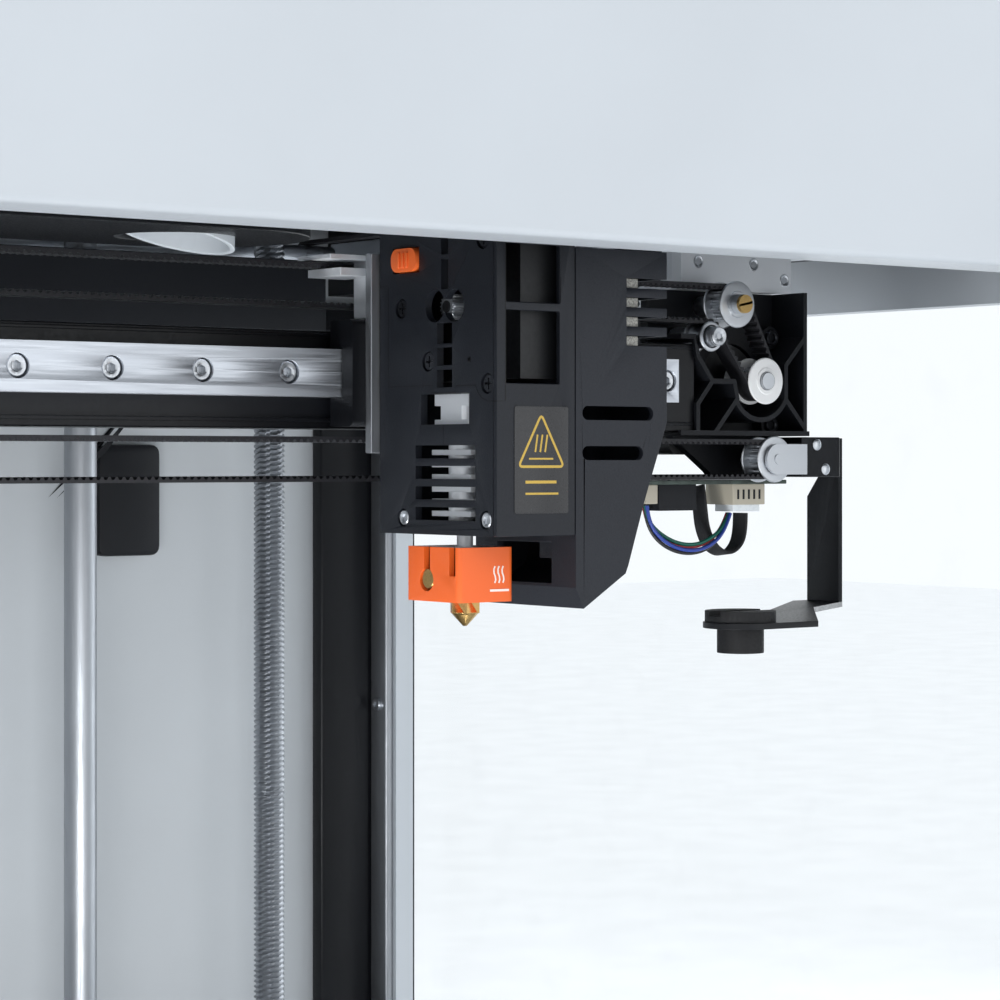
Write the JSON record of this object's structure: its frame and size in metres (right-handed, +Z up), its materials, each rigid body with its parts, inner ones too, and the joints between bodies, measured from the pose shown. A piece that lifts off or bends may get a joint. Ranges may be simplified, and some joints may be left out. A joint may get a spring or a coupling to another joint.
{
  "type": "fdm printer",
  "caption": "Enclosed filament 3-D printer with an open front, clear sides, a lifting bed and two heated print heads that slide on one gantry rail.",
  "frame": {"origin": "centre of the footprint, on the surface the feet stand on", "axes": "+X to the machine's right seen from its front, +Y towards its back, +Z up"},
  "size_m": [0.662, 0.48, 0.52],
  "materials": {
    "white_shell": "satin powder coat",
    "white_plastic": "satin moulded",
    "grey_panel": "satin",
    "black_plastic": "fine moulded texture",
    "black_metal": "fine powder coat",
    "bare_aluminium": "milled",
    "bright_steel": "ground",
    "clear_pane": "clear acrylic",
    "rubber_black": "matte",
    "motor": "satin black",
    "board": "solder mask",
    "orange_silicone": "matte silicone",
    "orange_plastic": "satin",
    "hotend_metal": "turned",
    "screen_glass": "black glass",
    "bed_alu": "cast plate",
    "spring_sheet": "textured print surface"
  },
  "bodies": {
    "frame": {"base_tray": "white_plastic", "base_deck": "white_plastic", "feet": "rubber_black", "side_frame_left": "white_plastic", "side_frame_right": "white_plastic", "side_windows": "clear_pane", "front_fascia": "white_plastic", "back_inner_panel": "grey_panel", "rear_cover": "white_shell", "top_frame": "black_metal", "air_duct": "white_plastic", "z_guide_rods": "bright_steel", "frame_motors": "motor", "y_rails": "bright_steel", "y_belts": "rubber_black", "base_electronics": "board", "touch_screen": "screen_glass", "power_inlet": "black_plastic"},
    "lid": {"top_lid": "white_plastic"},
    "power_rocker": {"power_rocker": "black_plastic"},
    "z_screw_left": {"z_leadscrew_left": "bright_steel"},
    "z_screw_right": {"z_leadscrew_right": "bright_steel"},
    "y_shaft": {"y_drive_shaft": "bright_steel"},
    "bed": {"bed_carriage": "black_metal", "heated_bed": "bed_alu", "build_sheet": "spring_sheet"},
    "gantry": {"x_beam": "black_metal", "x_rail": "bright_steel", "end_bracket_right": "black_plastic", "end_bracket_left": "black_plastic", "end_plates": "bare_aluminium", "x_motors": "motor", "x_belts": "rubber_black", "parking_brackets": "black_metal", "parking_pads": "rubber_black", "gantry_board": "board", "board_wires": "rubber_black"},
    "pulley_right_upper": {"right_upper_pulley": "bare_aluminium"},
    "pulley_right_return": {"right_return_idler": "bright_steel"},
    "pulley_right_motor": {"right_motor_pulley": "bare_aluminium"},
    "pulley_right_lower": {"right_lower_pulley": "bare_aluminium"},
    "pulley_left_upper": {"left_upper_pulley": "bare_aluminium"},
    "pulley_left_motor": {"left_motor_pulley": "bare_aluminium"},
    "head_right": {"head_carriage_right": "bare_aluminium", "head_cover_right": "black_plastic", "head_front_right": "black_plastic", "head_duct_right": "black_plastic", "hotend_right": "hotend_metal", "hotend_sock_right": "orange_silicone"},
    "button_right": {"release_button_right": "orange_plastic"},
    "gear_right": {"extruder_gear_right": "bright_steel"},
    "head_left": {"head_carriage_left": "bare_aluminium", "head_cover_left": "black_plastic", "head_front_left": "black_plastic", "head_duct_left": "black_plastic", "hotend_left": "hotend_metal", "hotend_sock_left": "orange_silicone"},
    "button_left": {"release_button_left": "orange_plastic"},
    "gear_left": {"extruder_gear_left": "bright_steel"}
  },
  "joints": [
    {"name": "lid_hinge", "type": "hinge", "parent": "frame", "child": "lid", "pos_m": [0, 0.2365, 0.511], "axis": [-1, 0, 0], "range_deg": [0, 95]},
    {"name": "power_rocker_tilt", "type": "hinge", "parent": "frame", "child": "power_rocker", "pos_m": [0.271, 0.232, 0.0685], "axis": [1, 0, 0], "range_deg": [0, 12]},
    {"name": "bed_z", "type": "slide", "parent": "frame", "child": "bed", "axis": [0, 0, 1], "range_m": [-0.012, 0.208]},
    {"name": "z_screw_left_turn", "type": "hinge", "parent": "frame", "child": "z_screw_left", "pos_m": [-0.245, 0.165, 0.3], "axis": [0, 0, 1], "continuous": true},
    {"name": "z_screw_right_turn", "type": "hinge", "parent": "frame", "child": "z_screw_right", "pos_m": [0.245, 0.165, 0.3], "axis": [0, 0, 1], "continuous": true},
    {"name": "gantry_y", "type": "slide", "parent": "frame", "child": "gantry", "axis": [0, 1, 0], "range_m": [0, 0.225]},
    {"name": "y_shaft_turn", "type": "hinge", "parent": "frame", "child": "y_shaft", "pos_m": [0, 0.181, 0.481], "axis": [1, 0, 0], "continuous": true},
    {"name": "head_right_x", "type": "slide", "parent": "gantry", "child": "head_right", "axis": [1, 0, 0], "range_m": [-0.0665, 0.0883]},
    {"name": "head_left_x", "type": "slide", "parent": "gantry", "child": "head_left", "axis": [1, 0, 0], "range_m": [0, 0.1548]},
    {"name": "pulley_right_upper_turn", "type": "hinge", "parent": "gantry", "child": "pulley_right_upper", "pos_m": [0.2059, -0.14, 0.4445], "axis": [0, 1, 0], "continuous": true},
    {"name": "pulley_right_return_turn", "type": "hinge", "parent": "gantry", "child": "pulley_right_return", "pos_m": [0.196, -0.14, 0.43505], "axis": [0, 1, 0], "continuous": true},
    {"name": "pulley_right_motor_turn", "type": "hinge", "parent": "gantry", "child": "pulley_right_motor", "pos_m": [0.2171, -0.14, 0.4228], "axis": [0, 1, 0], "continuous": true},
    {"name": "pulley_right_lower_turn", "type": "hinge", "parent": "gantry", "child": "pulley_right_lower", "pos_m": [0.2206, -0.14, 0.4002], "axis": [0, 1, 0], "continuous": true},
    {"name": "pulley_left_upper_turn", "type": "hinge", "parent": "gantry", "child": "pulley_left_upper", "pos_m": [-0.2059, -0.14, 0.4445], "axis": [0, 1, 0], "continuous": true},
    {"name": "pulley_left_motor_turn", "type": "hinge", "parent": "gantry", "child": "pulley_left_motor", "pos_m": [-0.2206, -0.14, 0.4002], "axis": [0, 1, 0], "continuous": true},
    {"name": "button_right_press", "type": "slide", "parent": "head_right", "child": "button_right", "axis": [1, 0, 0], "range_m": [0, 0.0022], "stiffness_N_per_m": 400, "springref_m": -0.002},
    {"name": "gear_right_turn", "type": "hinge", "parent": "head_right", "child": "gear_right", "pos_m": [0.0785, -0.1805, 0.4377], "axis": [1, 0, 0], "continuous": true},
    {"name": "button_left_press", "type": "slide", "parent": "head_left", "child": "button_left", "axis": [-1, 0, 0], "range_m": [0, 0.0022], "stiffness_N_per_m": 400, "springref_m": -0.002},
    {"name": "gear_left_turn", "type": "hinge", "parent": "head_left", "child": "gear_left", "pos_m": [-0.1668, -0.1805, 0.4377], "axis": [1, 0, 0], "continuous": true}
  ],
  "couplings": [
    {"joint": "z_screw_left_turn", "follows": "bed_z", "rad_per_m": 785.4},
    {"joint": "z_screw_right_turn", "follows": "bed_z", "rad_per_m": 785.4},
    {"joint": "y_shaft_turn", "follows": "gantry_y", "rad_per_m": 196.08},
    {"joint": "pulley_right_upper_turn", "follows": "head_right_x", "rad_per_m": 196.08},
    {"joint": "pulley_right_return_turn", "follows": "head_right_x", "rad_per_m": -229.89},
    {"joint": "pulley_right_motor_turn", "follows": "head_right_x", "rad_per_m": 196.08},
    {"joint": "pulley_left_upper_turn", "follows": "head_right_x", "rad_per_m": 196.08},
    {"joint": "pulley_right_lower_turn", "follows": "head_left_x", "rad_per_m": 196.08},
    {"joint": "pulley_left_motor_turn", "follows": "head_left_x", "rad_per_m": 196.08}
  ]
}
